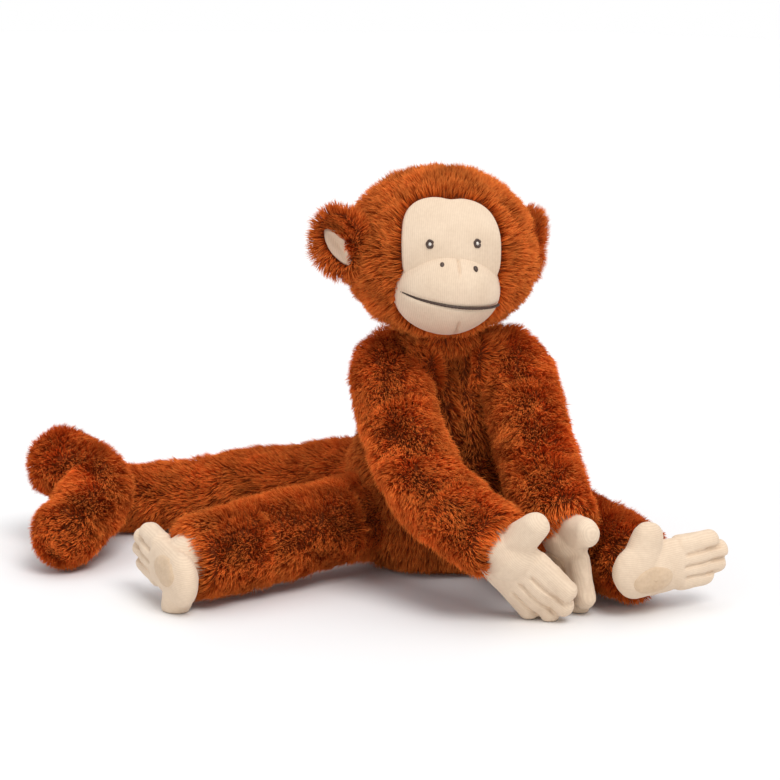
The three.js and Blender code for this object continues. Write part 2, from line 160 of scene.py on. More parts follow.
def lattice(i, seed):
    """A fixed number from -1 to 1 for each corner of a grid, by scrambling its whole-number place."""
    h = i[..., 0] * 374761393 + i[..., 1] * 668265263 + i[..., 2] * 2147483647
    h = (h + seed * 144269504) & 0xFFFFFFFF
    h = ((h ^ (h >> 13)) * 1274126177) & 0xFFFFFFFF
    return ((h ^ (h >> 16)) & 0xFFFFFF) / 0x7FFFFF - 1.0


def noise(p, size, seed):
    """Smooth noise from -1 to 1 with features of about that size."""
    q = np.asarray(p, float) / size
    i = np.floor(q).astype(np.int64)
    f = q - i
    f = f * f * (3 - 2 * f)
    total = 0.0
    for corner in itertools.product((0, 1), repeat=3):
        c = np.array(corner)
        weight = np.prod(np.where(c == 1, f, 1 - f), axis=-1)
        total = total + weight * lattice(i + c, seed)
    return total


def vector_noise(p, size, seed):
    return np.stack([noise(p, size, seed + k) for k in range(3)], axis=-1)


def add_object(name, data):
    made = bpy.data.objects.new(name, data)
    bpy.context.scene.collection.objects.link(made)
    return made


def make_mesh(name, points, faces, material, attributes=None, outward=None):
    """A mesh object from points in millimetres, with named float or vector attributes on its points.
    Its faces are turned to look away from outward, a point behind them."""
    points = np.asarray(points, float)
    mesh = bpy.data.meshes.new(name)
    if outward is not None:
        a, b, c = (points[faces[:, k]] for k in range(3))
        normal = np.cross(b - a, c - a)
        if (normal * ((a + b + c) / 3 - outward)).sum() < 0:
            faces = faces[:, ::-1]
    mesh.vertices.add(len(points))
    mesh.loops.add(faces.size)
    mesh.polygons.add(len(faces))
    mesh.vertices.foreach_set("co", (points / 1000).ravel())
    mesh.loops.foreach_set("vertex_index", faces.ravel().astype(np.int32))
    mesh.polygons.foreach_set("loop_start", np.arange(len(faces), dtype=np.int32) * faces.shape[1])
    mesh.update(calc_edges=True)
    for key, values in (attributes or {}).items():
        values = np.asarray(values, np.float32)
        kind = "FLOAT_VECTOR" if values.ndim == 2 else "FLOAT"
        layer = mesh.attributes.new(key, kind, "POINT")
        layer.data.foreach_set("vector" if values.ndim == 2 else "value", values.ravel())
    mesh.polygons.foreach_set("use_smooth", np.ones(len(mesh.polygons), bool))
    mesh.materials.append(material)
    return add_object(name, mesh)


def grid_faces(rows, around):
    """Quads of a grid whose rows wrap round, as indices row * around + column."""
    r, c = np.meshgrid(np.arange(rows - 1), np.arange(around), indexing="ij")
    a = r * around + c
    b = r * around + (c + 1) % around
    return np.stack([a, b, b + around, a + around], axis=-1).reshape(-1, 4)


def capped(points, faces, around):
    """Adds a middle point to each end of a tube of rings, and returns points and triangles."""
    first = points[:around].mean(0)
    last = points[-around:].mean(0)
    n = len(points)
    points = np.vstack([points, first, last])
    c = np.arange(around)
    d = (c + 1) % around
    low = np.stack([d, c, np.full(around, n)], axis=-1)
    high = np.stack([n - around + c, n - around + d, np.full(around, n + 1)], axis=-1)
    tris = np.vstack([faces[:, [0, 1, 2]], faces[:, [0, 2, 3]], low, high])
    return points, tris


def above_floor(points, clearance=FLOOR_CLEARANCE):
    """The points with none lower than the clearance over the floor."""
    points = points.copy()
    points[:, 2] = np.maximum(points[:, 2], clearance)
    return points


def circle(steps):
    """Angles once round, without the last, which is the first again."""
    return np.linspace(0, 2 * math.pi, steps, endpoint=False)


def vertex_normals(points, tris):
    a, b, c = points[tris[:, 0]], points[tris[:, 1]], points[tris[:, 2]]
    n = np.cross(b - a, c - a)
    total = np.zeros_like(points)
    for k in range(3):
        np.add.at(total, tris[:, k], n)
    return unit(total)


# -------- materials


def new_material(name):
    """A material with its nodes, its links and its shader."""
    material = bpy.data.materials.new(name)
    material.use_nodes = True
    nodes = material.node_tree.nodes
    return material, nodes, material.node_tree.links, nodes["Principled BSDF"]


def ramp(nodes, stops):
    """Colours blended between stops, each a place from 0 to 1 and a colour."""
    node = nodes.new("ShaderNodeValToRGB")
    elements = node.color_ramp.elements
    while len(elements) < len(stops):
        elements.new(0.5)
    for element, (position, colour) in zip(elements, stops, strict=True):
        element.position = position
        element.color = (*colour, 1)
    return node


def attribute(nodes, name):
    node = nodes.new("ShaderNodeAttribute")
    node.attribute_name = name
    return node


def noise_node(nodes, links, place, scale, detail=2):
    node = nodes.new("ShaderNodeTexNoise")
    node.inputs["Scale"].default_value = scale
    node.inputs["Detail"].default_value = detail
    links.new(place, node.inputs["Vector"])
    return node


def mixed_node(nodes, links, share, first, second):
    """The first number mixed with that share of the second."""
    node = nodes.new("ShaderNodeMix")
    node.data_type = "FLOAT"
    node.inputs["Factor"].default_value = share
    links.new(first, node.inputs["A"])
    links.new(second, node.inputs["B"])
    return node


def object_place(nodes):
    return nodes.new("ShaderNodeTexCoord").outputs["Object"]


def fur_material(name, root, middle, tip):
    """Strands: dark at the root, which is painted shade deep in the pile, and warm at the tip, with paler
    and darker tufts.
    """
    material, nodes, links, shader = new_material(name)
    shader.inputs["Roughness"].default_value = 0.78
    shader.inputs["Specular IOR Level"].default_value = 0.05
    shade = ramp(nodes, [(0.0, root), (0.5, middle), (1.0, tip)])
    links.new(attribute(nodes, "tip").outputs["Fac"], shade.inputs["Fac"])
    patches = noise_node(nodes, links, object_place(nodes), 60, 3)
    both = nodes.new("ShaderNodeMath")
    both.operation = "MULTIPLY_ADD"
    # The tone attribute carries each piece's painted light and painted shade as well as the strands' own
    # random paleness.
    links.new(attribute(nodes, "tone").outputs["Fac"], both.inputs[0])
    both.inputs[1].default_value = 0.55
    links.new(patches.outputs["Fac"], both.inputs[2])
    light = nodes.new("ShaderNodeHueSaturation")
    links.new(shade.outputs["Color"], light.inputs["Color"])
    links.new(both.outputs["Value"], light.inputs["Value"])
    links.new(light.outputs["Color"], shader.inputs["Base Color"])
    return material


def cloth_material(name, dark, light, rib, roughness=0.85, depth=0.12):
    """Napped cloth with fine ribs along the piece's own second direction."""
    material, nodes, links, shader = new_material(name)
    shader.inputs["Roughness"].default_value = roughness
    shader.inputs["Specular IOR Level"].default_value = 0.2
    shader.inputs["Sheen Weight"].default_value = 0.2
    shader.inputs["Sheen Tint"].default_value = (1.0, 0.93, 0.85, 1)
    local = attribute(nodes, "local")
    ribs = nodes.new("ShaderNodeTexWave")
    ribs.inputs["Scale"].default_value = rib
    ribs.inputs["Distortion"].default_value = 1.6
    ribs.inputs["Detail"].default_value = 2
    ribs.inputs["Detail Scale"].default_value = 3
    links.new(local.outputs["Vector"], ribs.inputs["Vector"])
    nap = noise_node(nodes, links, local.outputs["Vector"], 420, 4)
    blots = noise_node(nodes, links, local.outputs["Vector"], 45)
    weave = mixed_node(nodes, links, 0.62, ribs.outputs["Fac"], nap.outputs["Fac"])
    whole = mixed_node(nodes, links, 0.45, weave.outputs["Result"], blots.outputs["Fac"])
    shade = ramp(nodes, [(0.25, dark), (0.75, light)])
    links.new(whole.outputs["Result"], shade.inputs["Fac"])
    links.new(shade.outputs["Color"], shader.inputs["Base Color"])
    bump = nodes.new("ShaderNodeBump")
    bump.inputs["Strength"].default_value = depth
    bump.inputs["Distance"].default_value = 0.0006
    links.new(weave.outputs["Result"], bump.inputs["Height"])
    links.new(bump.outputs["Normal"], shader.inputs["Normal"])
    return material


def thread_material(name, dark, light):
    """Thread with the fine light and dark of its twist."""
    material, nodes, links, shader = new_material(name)
    shader.inputs["Roughness"].default_value = 0.5
    twist = noise_node(nodes, links, object_place(nodes), 1500)
    shade = ramp(nodes, [(0.3, dark), (0.7, light)])
    links.new(twist.outputs["Fac"], shade.inputs["Fac"])
    links.new(shade.outputs["Color"], shader.inputs["Base Color"])
    return material


# The strands' dark root colour is painted shade deep in the pile.
FUR = fur_material("fur_strands", (0.36, 0.056, 0.008), (0.6, 0.114, 0.016), (0.9, 0.258, 0.052))
# The backing is a darker copy of the fur, painted shade deep in the pile.
PAINTED_SHADE_BACKING = fur_material("fur_backing_painted_shade", (0.16, 0.034, 0.009), (0.18, 0.04, 0.011), (0.22, 0.05, 0.013))
VELOUR = cloth_material("velour", (0.64, 0.485, 0.35), (0.79, 0.63, 0.475), 260)
PATCH = cloth_material("touch_fastener", (0.56, 0.40, 0.26), (0.72, 0.54, 0.38), 420, 0.95, 0.35)
THREAD = thread_material("dark_thread", (0.03, 0.014, 0.009), (0.085, 0.045, 0.03))
PALE_THREAD = thread_material("pale_thread", (0.62, 0.56, 0.5), (0.85, 0.8, 0.74))

# -------- fur


def scattered(points, tris, rng, density):
    """Random places on a surface, even by area, with the surface's normal there."""
    normals = vertex_normals(points, tris)
    a, b, c = (points[tris[:, k]] for k in range(3))
    area = np.linalg.norm(np.cross(b - a, c - a), axis=1) / 2
    count = min(int(area.sum() * STRANDS_PER_MM2 * density), MOST_STRANDS)
    chosen = tris[rng.choice(len(tris), count, p=area / area.sum())]
    u, v = rng.random(count), rng.random(count)
    flip = u + v > 1
    u[flip], v[flip] = 1 - u[flip], 1 - v[flip]
    share = np.stack([1 - u - v, u, v], axis=1)
    root = np.einsum("nk,nkd->nd", share, points[chosen])
    return root, unit(np.einsum("nk,nkd->nd", share, normals[chosen]))


def strand_ways(root, normal, brushed, seed, lean, rng):
    """Which way each strand stands: brushed over, swaying in locks, and always out of the cloth."""
    brushed = unit(brushed - (brushed * normal).sum(1, keepdims=True) * normal)
    sway = vector_noise(root, 18, seed + 11) * 0.4 + vector_noise(root, 6, seed + 23) * 0.3
    way = unit(normal + brushed * lean + sway + rng.normal(0, 0.17, (len(root), 3)))
    out = (way * normal).sum(1, keepdims=True)
    return unit(way + normal * np.clip(0.35 - out, 0, 1))


def gathered(root, tip, rng):
    """Strands gather into tufts: each tip is drawn towards the tip of its tuft's middle strand."""
    count = len(root)
    leaders = rng.choice(count, max(1, count // TUFT), replace=False)
    tree = KDTree(len(leaders))
    for i, at in enumerate(root[leaders]):
        tree.insert(at, i)
    tree.balance()
    leader = leaders[np.array([tree.find(at)[1] for at in root])]
    pull = (0.1 + 0.32 * rng.random(count))[:, None]
    return tip * (1 - pull) + tip[leader] * pull


def ribbons(root, middle, tip, half):
    """Each strand as a thin ribbon of three triangles, wide at its root and pointed at its tip."""
    edges = [root - half, root + half, middle + half * 0.8, middle - half * 0.8, tip]
    base = np.arange(len(root)) * len(edges)
    faces = np.concatenate([
        np.stack([base, base + 1, base + 2], 1),
        np.stack([base, base + 2, base + 3], 1),
        np.stack([base + 3, base + 2, base + 4], 1),
    ])
    return np.stack(edges, axis=1).reshape(-1, 3), faces


def fur(name, points, tris, comb, seed, length=9.5, lean=0.85, keep=None, density=1.0, tone=0.0):
    """Tufted strands on a surface. comb(points) is the way the pile is brushed, keep(points) says
    where it grows, and a higher tone is paler: raising a piece's value paints light on its fur,
    and lowering it paints shade on its fur."""
    rng = np.random.default_rng(seed)
    root, normal = scattered(points, tris, rng, density)
    if keep is not None:
        kept = keep(root)
        root, normal = root[kept], normal[kept]
    count = len(root)

    way = strand_ways(root, normal, comb(root), seed, lean, rng)
    reach = length * (0.82 + 0.2 * noise(root, 9, seed + 5) + rng.normal(0, 0.1, count))
    tip = gathered(root, root + way * reach[:, None], rng)
    middle = root * 0.5 + tip * 0.5 + normal * (reach * 0.13)[:, None]
    across = unit(np.cross(way, rng.normal(0, 1, (count, 3))))
    half = across * (STRAND_WIDTH * (0.8 + 0.4 * rng.random(count)))[:, None] / 2
    root = root - normal * 0.8
    made, faces = ribbons(root, middle, tip, half)

    # A raised tone for the piece is painted light and a lowered one is painted shade; the random part and
    # the noise are the pile's own uneven paleness.
    pale = 0.78 + tone + 0.26 * rng.random(count) + 0.22 * noise(root, 20, seed + 31)
    shades = {"tip": np.tile([0.0, 0.0, 0.6, 0.6, 1.0], count), "tone": np.repeat(pale, 5)}
    piece = make_mesh(name, above_floor(made), faces, FUR, shades)
    return piece


def backing(name, points, tris):
    """The cloth that the pile grows from, coloured dark brown as painted shade deep in the pile."""
    points = above_floor(points)
    shades = {"tip": 0.5 + 0.5 * noise(points, 5, 3), "tone": 0.9 + 0.1 * noise(points, 9, 4)}
    piece = make_mesh(name, points, tris, PAINTED_SHADE_BACKING, shades)
    return piece


def furred(name, points, tris, comb, seed, bodies, replaces, bend=None, fill=0.85, **options):
    """A padded skin and its fur, both on one body, or, when a bend is given, both left in the world frame
    and attached to no body.
    """
    skin = backing(f"{name}_skin", points, tris)
    pile = fur(f"{name}_fur", points, tris, comb, seed, **options)
    for piece in (skin, pile):
        if bend is None:
            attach(piece, bodies)
        else:
            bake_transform(piece)
    if replaces:
        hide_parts(*replaces)


# -------- limbs


def spline(points, per_span=40):
    """A smooth line through the points, evenly spaced, and how far along it each of them lies."""
    p = [np.array(q, float) for q in points]
    p = [2 * p[0] - p[1], *p, 2 * p[-1] - p[-2]]
    line, marks = [], []
    for k in range(1, len(p) - 2):
        marks.append(len(line))
        for t in np.linspace(0, 1, per_span, endpoint=False):
            m0, m1 = (p[k + 1] - p[k - 1]) / 2, (p[k + 2] - p[k]) / 2
            h = (2 * t**3 - 3 * t**2 + 1, t**3 - 2 * t**2 + t, -2 * t**3 + 3 * t**2, t**3 - t**2)
            line.append(h[0] * p[k] + h[1] * m0 + h[2] * p[k + 1] + h[3] * m1)
    marks.append(len(line))
    line.append(p[-2])
    line = np.array(line)
    along = np.concatenate([[0], np.cumsum(np.linalg.norm(np.diff(line, axis=0), axis=1))])
    even = np.arange(0, along[-1] + 0.01, LINE_STEP)
    return np.stack([np.interp(even, along, line[:, k]) for k in range(3)], axis=1), along[marks]


class Limb:
    """A stuffed tube along a smooth line. Distances along it are in millimetres from its start."""

    def __init__(self, points, radii, seed, round_end):
        self.line, self.marks = spline(points)
        self.length = (len(self.line) - 1) * LINE_STEP
        self.tangent = unit(np.gradient(self.line, axis=0))
        side = [unit(np.cross(self.tangent[0], [0, 0, 1]))]
        for t in self.tangent[1:]:
            side.append(unit(side[-1] - t * side[-1].dot(t)))
        self.side = np.array(side)
        self.up = np.cross(self.tangent, self.side)
        self.radii = radii
        self.round_end = round_end
        self.stop = self.length
        self.seed = seed

    def at(self, s):
        i = np.clip(s / LINE_STEP, 0, len(self.line) - 1)
        return np.array([np.interp(i, np.arange(len(self.line)), self.line[:, k]) for k in range(3)])

    def way(self, s):
        return self.tangent[int(np.clip(round(s / LINE_STEP), 0, len(self.line) - 1))]

    def radius(self, s):
        """The backing's radius, which closes to a round end before the stop."""
        r = np.interp(s, self.marks, self.radii) - PILE
        past = np.clip((s - (self.stop - self.round_end)) / self.round_end, 0, 1)
        return r * np.sqrt(np.maximum(1 - past * past, 0.002))

    def surface(self, s0, s1, around=40):
        """The closed backing between two distances, with the folds and the seam of stuffed cloth."""
        rows = np.arange(int(s0 / LINE_STEP), int(s1 / LINE_STEP) + 1)
        angle = circle(around)
        ring = (
            self.side[rows, None] * np.cos(angle)[None, :, None]
            + self.up[rows, None] * np.sin(angle)[None, :, None]
        )
        r = self.radius(rows * LINE_STEP)[:, None]
        base = self.line[rows, None] + ring * r[..., None]
        folds = 1.3 * noise(base, 26, self.seed) + 0.7 * noise(base, 11, self.seed + 1)
        points = (base + ring * folds[..., None] * (r / 26)[..., None]).reshape(-1, 3)
        # The seam along the inside of the limb pulls the cloth in.
        from_seam = (angle - SEAM_ANGLE + math.pi) % (2 * math.pi) - math.pi
        seam = np.exp(-(from_seam / 0.12) ** 2) * 1.6
        points = points - (ring * seam[None, :, None]).reshape(-1, 3)
        return capped(above_floor(points, SKIN_CLEARANCE), grid_faces(len(rows), around), around)

    def comb(self, p):
        """Brushed along the limb, towards its end."""
        every = 6
        gap = ((p[:, None, :] - self.line[None, ::every, :]) ** 2).sum(-1)
        return self.tangent[np.argmin(gap, axis=1) * every]


def limb_pieces(limb, names, joints, cuts, bodies, replaces, spreads, **options):
    """One furred piece for each joint, cut where the limb is straight."""
    for k, name in enumerate(names):
        points, tris = limb.surface(cuts[k], cuts[k + 1])
        at, way = limb.at(joints[k]), limb.way(joints[k])
        before, after = spreads[k]
        bend = (at - way * before, at + way * after)
        furred(name, points, tris, limb.comb, limb.seed * 10 + k, bodies[k], replaces[k], bend, **options)


# -------- torso and neck


def lathe(outline, depth, around=96, rows=90):
    """Rings round the upright axis, along a softened outline of radii and heights."""
    r, z = np.array(outline, float).T
    s = np.concatenate([[0], np.cumsum(np.hypot(np.diff(z), np.diff(r)))])
    even = np.linspace(0, s[-1], rows)
    rr, zz = np.interp(even, s, r), np.interp(even, s, z)
    for _ in range(6):
        rr[1:-1] = (rr[:-2] + 2 * rr[1:-1] + rr[2:]) / 4
        zz[1:-1] = (zz[:-2] + 2 * zz[1:-1] + zz[2:]) / 4
    angle = circle(around)
    x = rr[:, None] * np.cos(angle)
    y = rr[:, None] * np.sin(angle) * depth
    points = np.stack([x, y, np.repeat(zz[:, None], around, 1)], -1).reshape(-1, 3)
    return points, grid_faces(rows, around), around


def ellipsoid(at, size, rows=70, around=100, pole=(0, 0, 1)):
    """Rings from one pole to the other, as points, directions from the middle, and triangles."""
    lat = np.linspace(0.001, math.pi - 0.001, rows)[::-1]
    lon = circle(around)
    d = np.stack([
        np.sin(lat)[:, None] * np.cos(lon),
        np.sin(lat)[:, None] * np.sin(lon),
        np.repeat(np.cos(lat)[:, None], around, 1),
    ], -1).reshape(-1, 3)
    turn = np.array(Vector((0, 0, 1)).rotation_difference(Vector(pole)).to_matrix())
    d = d @ turn.T
    points = np.asarray(at) + d * np.asarray(size)
    points, tris = capped(points, grid_faces(rows, around), around)
    d = unit((points - np.asarray(at)) / np.asarray(size))
    return points, d, tris


def brushed_down(p):
    """Down and a little outwards."""
    return np.array([0, 0, -1.0]) + 0.25 * unit(p * [1, 1, 0])


def torso():
    w = TORSO_WIDTH - PILE
    outline = [(1, 3.2), (0.62 * w, 3.2), (0.9 * w, 12), (w, 42), (0.95 * w, 80), (0.76 * w, 115),
               (0.56 * w, 140), (0.42 * w, 156), (0.3 * w, 166), (1, 170)]
    points, faces, around = lathe(outline, TORSO_DEPTH_RATIO)
    out = unit(points * [1, 1, 0])
    # The seam down the belly pulls the cloth in.
    front = smooth(0, 20, -points[:, 1])
    seam = np.exp(-((points[:, 0] - 1.5) / 4.0) ** 2) * front * 5.0 * smooth(8, 30, points[:, 2])
    points = points - out * seam[:, None]
    points = points + out * (1.8 * noise(points, 30, 71) + 0.9 * noise(points, 13, 72))[:, None]
    # The chest is hollow between the arms.
    chest = smooth(60, 90, points[:, 2]) * smooth(168, 140, points[:, 2]) * smooth(0, 25, -points[:, 1])
    points[:, 1] += 14 * chest * smooth(42, 18, np.abs(points[:, 0]))
    points, tris = capped(above_floor(points, SKIN_CLEARANCE), faces, around)
    # The torso's fur is darkened by painted shade through its lowered tone.
    furred("torso", points, tris, brushed_down, 100, "torso",
           ["torso_cover", "seat_panel", "torso_filling", "pellet_bag"], fill=0.8, length=10, tone=-0.25)


def neck():
    points, _, tris = ellipsoid(NECK_AT, NECK_SIZE, 24, 40)
    furred("neck", points, tris, brushed_down, 130, "neck", ["neck_filling"],
           fill=0.8, length=9, density=0.7)


# -------- head


def head_place(p):
    """From about the head's own middle line to the part's frame."""
    return turned(p, HEAD_TURN) + HEAD_AT * [1, 1, 0]


def head_local(p):
    return turned(np.asarray(p) - HEAD_AT * [1, 1, 0], -HEAD_TURN)


def face_edge(angle):
    """The face panel's outline, seen from the front, with a dip in the middle of its top."""
    c, s = np.cos(angle), np.sin(angle)
    power = np.where(s > 0, 2.9, 3.6)
    r = (np.abs(c / FACE_HALF_WIDTH) ** power + np.abs(s / FACE_HALF_HEIGHT) ** power) ** (-1 / power)
    x = r * c * (1 - 0.05 * np.clip(s, 0, 1))
    dip = 1.2 * np.exp(-((x / 6) ** 2)) + 0.07 * x
    return x, FACE_MIDDLE + r * s - dip * smooth(0, 0.5, s)


def inside_face(p, grow):
    x, z = p[:, 0], p[:, 2] - FACE_MIDDLE
    ex, ez = face_edge(np.arctan2(z, x))
    return (p[:, 1] < -8) & (np.hypot(x, z) < np.hypot(ex, ez - FACE_MIDDLE) + grow)


def inside_muzzle(p, grow):
    return (((p - MUZZLE_AT) / (MUZZLE_SIZE + grow)) ** 2).sum(1) < 1


def on_head(x, z, proud):
    """A point on the front of the head's ellipsoid, and its normal."""
    u, w = x / HEAD_SIZE[0], (z - HEAD_AT[2]) / HEAD_SIZE[2]
    y = -HEAD_SIZE[1] * np.sqrt(np.maximum(1 - u * u - w * w, 0.02))
    p = np.stack([x, y, z], -1)
    n = unit((p - [0, 0, HEAD_AT[2]]) / HEAD_SIZE**2)
    return p + n * np.asarray(proud)[..., None], n


def on_muzzle(x, z):
    """A point on the front of the muzzle's ellipsoid, and its normal."""
    u, w = x / MUZZLE_SIZE[0], (z - MUZZLE_AT[2]) / MUZZLE_SIZE[2]
    y = MUZZLE_AT[1] - MUZZLE_SIZE[1] * np.sqrt(np.maximum(1 - u * u - w * w, 0.0))
    p = np.stack([x, y, z], -1)
    return p, unit((p - MUZZLE_AT) / MUZZLE_SIZE**2)


def muzzle_swell(p, d):
    """How far the stuffed muzzle stands out beyond a plain ellipsoid, along d."""
    jowls = smooth(0.9, 0.2, np.abs(d[:, 2])) * smooth(0.2, 0.8, np.abs(d[:, 0]))
    return jowls * 1.2 + 0.4 * noise(p, 13, 221)


def mouth_height(x):
    """The smile's line: it sags in the middle and rises to the monkey's right."""
    return 193 + 3.75 * (x / 34) ** 2 - 4.75 * (x / 34)


def brushed_back(p):
    """The head's pile runs to the back, and stands out from the edge of the face."""
    q = head_local(p)
    rim = inside_face(q, 5) | inside_muzzle(q, 5)
    back = np.stack([q[:, 0] * 0.5, np.full(len(q), 28.0), (q[:, 2] - HEAD_AT[2]) * 0.4 - 8], -1)
    outward = np.stack([q[:, 0], 0 * q[:, 0], q[:, 2] - HEAD_AT[2]], -1)
    return turned(np.where(rim[:, None], outward, back), HEAD_TURN)


def clear_of_face(p):
    q = head_local(p)
    return ~(inside_face(q, -2.5) | inside_muzzle(q, -2.0))


def head():
    points, d, tris = ellipsoid([0, 0, HEAD_AT[2]], HEAD_SIZE - PILE, 90, 120)
    points = points + d * (1.4 * noise(points, 32, 201) + 0.6 * noise(points, 14, 202))[:, None]
    # Full cheeks and a slight swell where the face is sewn in.
    cheeks = smooth(20, 45, np.abs(points[:, 0])) * smooth(240, 205, points[:, 2])
    cheeks = cheeks * smooth(20, -20, points[:, 1])
    points = points + d * (cheeks * 2.5)[:, None]
    rim = inside_face(points, 3) | inside_muzzle(points, 3)
    points = points + d * (rim * 1.4)[:, None]
    # The head's fur is darkened by painted shade through its lowered tone.
    furred("head", head_place(points), tris, brushed_back, 200, "head", ["head_cover", "head_filling"],
           fill=0.95, length=10, lean=0.75, keep=clear_of_face, tone=-0.1)


def open_rings(points, rings, around):
    """An open sheet of rings with a middle point, as points, triangles and each point's own place."""
    places = np.vstack([points, points[:1], points[:1]])
    points, tris = capped(points, grid_faces(rings, around), around)
    return points, tris[:-around], places / 1000


def face_panel():
    """Rings from the panel's middle to its edge, tucked in where it is sewn."""
    rings, around = 34, 120
    share = np.linspace(0.02, 1, rings)[:, None]
    ex, ez = face_edge(circle(around))
    x = share * ex
    z = FACE_MIDDLE + share * (ez - FACE_MIDDLE)
    tuck = -3.0 * smooth(0.95, 1.0, share) + 1.6 * (1 - share**4)
    p, _ = on_head(x, z, tuck + 0 * x)
    p = p.reshape(-1, 3)
    p[:, 1] += 0.5 * noise(p, 14, 211)
    p, tris, local = open_rings(p, rings, around)
    panel = make_mesh("face_panel_cloth", head_place(p), tris, VELOUR, {"local": local}, HEAD_AT)
    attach(panel, "head")
    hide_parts("face_panel")


def muzzle():
    """A stuffed pouch with a crease at the mouth and a dart above and below it."""
    p, d, tris = ellipsoid(MUZZLE_AT, MUZZLE_SIZE, 110, 180, (0, 1, 0))
    lips = np.exp(-((p[:, 2] - mouth_height(p[:, 0])) / 1.6) ** 2) * smooth(38, 33, np.abs(p[:, 0]))
    dart = np.exp(-((p[:, 0] - MUZZLE_AT[0] - 4.0) / 0.9) ** 2)
    dart = dart * (smooth(210, 218, p[:, 2]) + smooth(184, 179, p[:, 2]))
    crease = (1.2 * lips + 2.2 * dart) * smooth(0.1, 0.5, -d[:, 1])
    p = p + d * (muzzle_swell(p, d) - crease)[:, None]
    pouch = make_mesh("muzzle_cloth", head_place(p), tris, VELOUR, {"local": p / 1000})
    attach(pouch, "head")
    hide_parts("muzzle_panel", "muzzle_filling")


# -------- stitching


def cord_mesh(name, path, radius, material, twist=0.0):
    """A stitched line: a thin tube that swells at each stitch and tapers at its ends."""
    path = np.asarray(path, float)
    tangent = unit(np.gradient(path, axis=0))
    along = np.concatenate([[0], np.cumsum(np.linalg.norm(np.diff(path, axis=0), axis=1))])
    side = unit(np.cross(tangent, [0, 0, 1.0]))
    up = np.cross(tangent, side)
    around = 10
    stitch = 2.4
    swell = radius * (0.82 + 0.26 * np.abs(np.sin(along * math.pi / stitch)))
    ends = np.minimum(along, along[-1] - along)
    swell = swell * np.sqrt(np.clip(ends / radius, 0.05, 1))
    turn = circle(around)[None, :] + twist * along[:, None]
    ring = side[:, None] * np.cos(turn)[..., None] + up[:, None] * np.sin(turn)[..., None]
    points = (path[:, None] + ring * swell[:, None, None]).reshape(-1, 3)
    points, tris = capped(points, grid_faces(len(path), around), around)
    return make_mesh(name, points, tris, material)


def stitched_disc(name, at, normal, across, radii, height, material):
    """A satin-stitched dot: a low dome ribbed by its threads."""
    rings, around = 8, 48
    share = np.linspace(0.05, 1, rings)[:, None]
    angle = circle(around)
    side = unit(across - normal * normal.dot(across))
    up = np.cross(normal, side)
    u = share * np.cos(angle) * radii[0]
    v = share * np.sin(angle) * radii[1]
    threads = 0.12 * np.abs(np.sin(v * 5))
    h = height * np.sqrt(np.maximum(1 - share**2, 0)) + threads
    h[-1] -= 0.5  # the edge is pulled into the cloth
    p = at + u[..., None] * side + v[..., None] * up + h[..., None] * normal
    points, tris = capped(p.reshape(-1, 3), grid_faces(rings, around), around)
    return make_mesh(name, points, tris, material, outward=at - 30 * normal)


def eye(side, sign):
    """A ring of thread round a pale dot."""
    p, n = on_head(np.array([sign * EYE_SPREAD]), np.array([EYE_HEIGHT]), np.array([1.7]))
    p, n = head_place(p[0]), turned(n[0], HEAD_TURN)
    across = unit(turned([1.0, 0, 0], HEAD_TURN))
    across = unit(across - n * n.dot(across))
    up = np.cross(n, across)
    angle = np.linspace(0, 2 * math.pi, 49)
    path = p + across * 1.85 * np.cos(angle)[:, None] + up * 2.25 * np.sin(angle)[:, None]
    ring = cord_mesh(f"{side}_eye_ring", path, 0.95, THREAD)
    light = stitched_disc(f"{side}_eye_light", p - n * 0.1, n, across, (1.2, 1.4), 0.5, PALE_THREAD)
    for piece in (ring, light):
        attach(piece, "head")
    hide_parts(f"{side}_eye_stitching")
    return across


def nostril(side, sign, across):
    x = np.array([NOSTRILS_AT[0] + sign * NOSTRIL_SPREAD])
    z = np.array([NOSTRILS_AT[1] - sign * NOSTRIL_TILT])
    p, n = on_muzzle(x, z)
    p = p + n * muzzle_swell(p, n)
    p, n = head_place(p[0]), turned(n[0], HEAD_TURN)
    dot = stitched_disc(f"{side}_nostril", p, n, across, (1.6, 2.3), 0.8, THREAD)
    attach(dot, "head")
    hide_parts(f"{side}_nostril_stitching")


def smile():
    x = np.linspace(MOUTH_FROM, MOUTH_TO, 90)
    p, _ = on_muzzle(x, mouth_height(x))
    d = unit((p - MUZZLE_AT) / MUZZLE_SIZE)
    p = p + d * (muzzle_swell(p, d) - 0.2)[:, None]
    line = cord_mesh("mouth_stitch_line", head_place(p), 0.95, THREAD, 0.8)
    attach(line, "head")
    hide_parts("mouth_stitching")


def face_stitching():
    for side, sign in (("right", -1), ("left", 1)):
        across = eye(side, sign)
        nostril(side, sign, across)
    smile()


# -------- ears


def rim_height(u, w):
    """The ear's rim rolls forward, most at the top. u is out from the head, and w is up."""
    share = np.hypot(u / EAR_SIZE[0], w / EAR_SIZE[2])
    return 5.0 * smooth(0.55, 1.0, share) * (0.4 + 0.6 * smooth(-8, 16, w))


def skin_height(u, w):
    """How far the ear's cupped front face stands out."""
    share = np.hypot(u / EAR_SIZE[0], w / EAR_SIZE[2])
    cup = np.exp(-(((u - 1) / 10) ** 2 + ((w + 3) / 13) ** 2))
    return EAR_SIZE[1] * np.sqrt(np.maximum(1 - share**2, 0)) - 7.0 * cup + rim_height(u, w)


